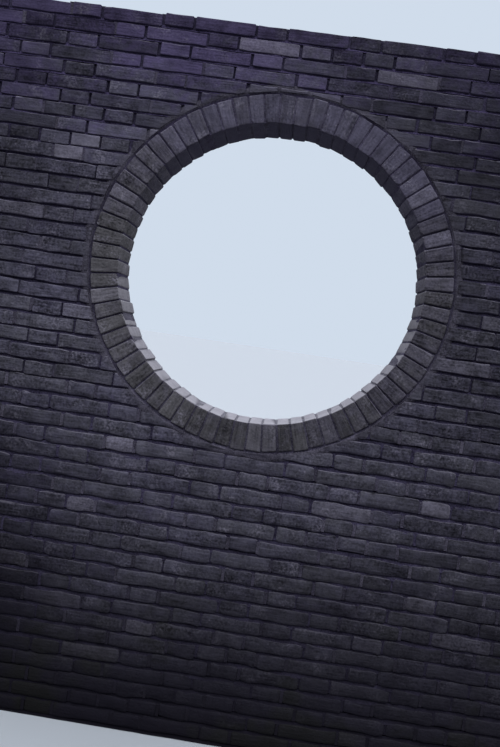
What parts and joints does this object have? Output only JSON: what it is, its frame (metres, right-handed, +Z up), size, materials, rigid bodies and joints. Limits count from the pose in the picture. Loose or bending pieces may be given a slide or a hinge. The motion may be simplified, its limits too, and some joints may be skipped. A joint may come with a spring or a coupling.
{
  "type": "moon window wall",
  "caption": "Free-standing grey brick garden wall, one brick thick, with a full round window framed by a ring of radial bricks.",
  "frame": {"origin": "middle of the wall's foot, at ground level", "axes": "+Z up, X along the wall, the front face looks to -Y"},
  "size_m": [3.99, 0.24, 2.942],
  "materials": {
    "wall_brick": "matte",
    "ring_brick": "matte",
    "mortar": "matte"
  },
  "bodies": {
    "root": {"foot_courses_under_ring": "wall_brick", "foot_courses_left": "wall_brick", "foot_courses_right": "wall_brick", "middle_courses_left": "wall_brick", "middle_courses_right": "wall_brick", "top_courses_left": "wall_brick", "top_courses_right": "wall_brick", "top_courses_over_ring": "wall_brick", "uppermost_course": "wall_brick", "ring_arc_01": "ring_brick", "ring_arc_02": "ring_brick", "ring_arc_03": "ring_brick", "ring_arc_04": "ring_brick", "ring_arc_05": "ring_brick", "ring_arc_06": "ring_brick", "ring_arc_07": "ring_brick", "ring_arc_08": "ring_brick", "ring_arc_09": "ring_brick", "ring_arc_10": "ring_brick", "ring_arc_11": "ring_brick", "ring_arc_12": "ring_brick", "ring_arc_13": "ring_brick", "ring_arc_14": "ring_brick", "ring_mortar": "mortar"}
  },
  "joints": []
}
